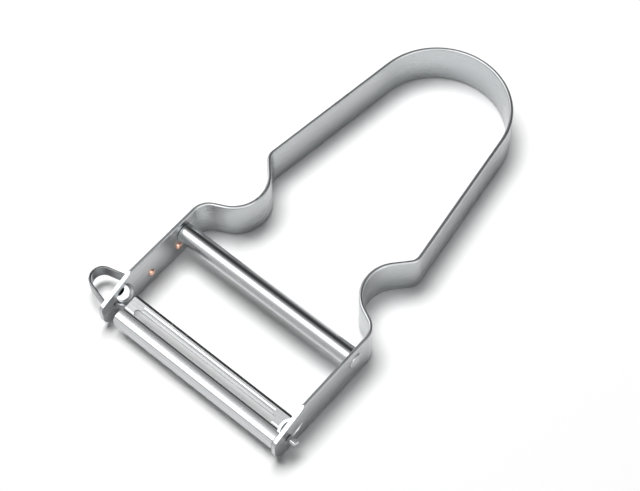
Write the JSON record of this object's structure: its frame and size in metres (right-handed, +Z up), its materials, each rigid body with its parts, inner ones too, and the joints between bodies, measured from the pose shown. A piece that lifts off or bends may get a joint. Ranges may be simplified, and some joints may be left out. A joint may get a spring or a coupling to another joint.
{
  "type": "vegetable peeler",
  "caption": "Vegetable peeler with a bent metal strip handle, a cross tube, a slotted blade that swivels between the arms and a riveted loop for cutting out eyes.",
  "frame": {"origin": "under the middle of the box around the whole peeler, on the plane it lies on", "axes": "+Y from the blade towards the bow of the handle, +Z up across the strip's width, +X towards the arm without the eye loop"},
  "size_m": [0.0676, 0.1132, 0.0125],
  "materials": {
    "strip_aluminium": "satin, drawn along the strip",
    "tube_steel": "polished",
    "blade_steel": "fine brushed along the blade",
    "loop_steel": "dull grey, bare",
    "rivet_copper": "bare copper, half dull"
  },
  "bodies": {
    "handle": {"handle_bow": "strip_aluminium", "spacer_tube": "tube_steel", "spacer_rivet": "strip_aluminium", "eye_loop": "loop_steel", "loop_rivet_front": "rivet_copper", "loop_rivet_rear": "rivet_copper"},
    "blade": {"blade": "blade_steel"}
  },
  "joints": [
    {"name": "blade_swivel", "type": "hinge", "parent": "handle", "child": "blade", "pos_m": [0.0041, -0.05198, 0.006], "axis": [-1, 0, 0], "range_deg": [0, 40]}
  ]
}
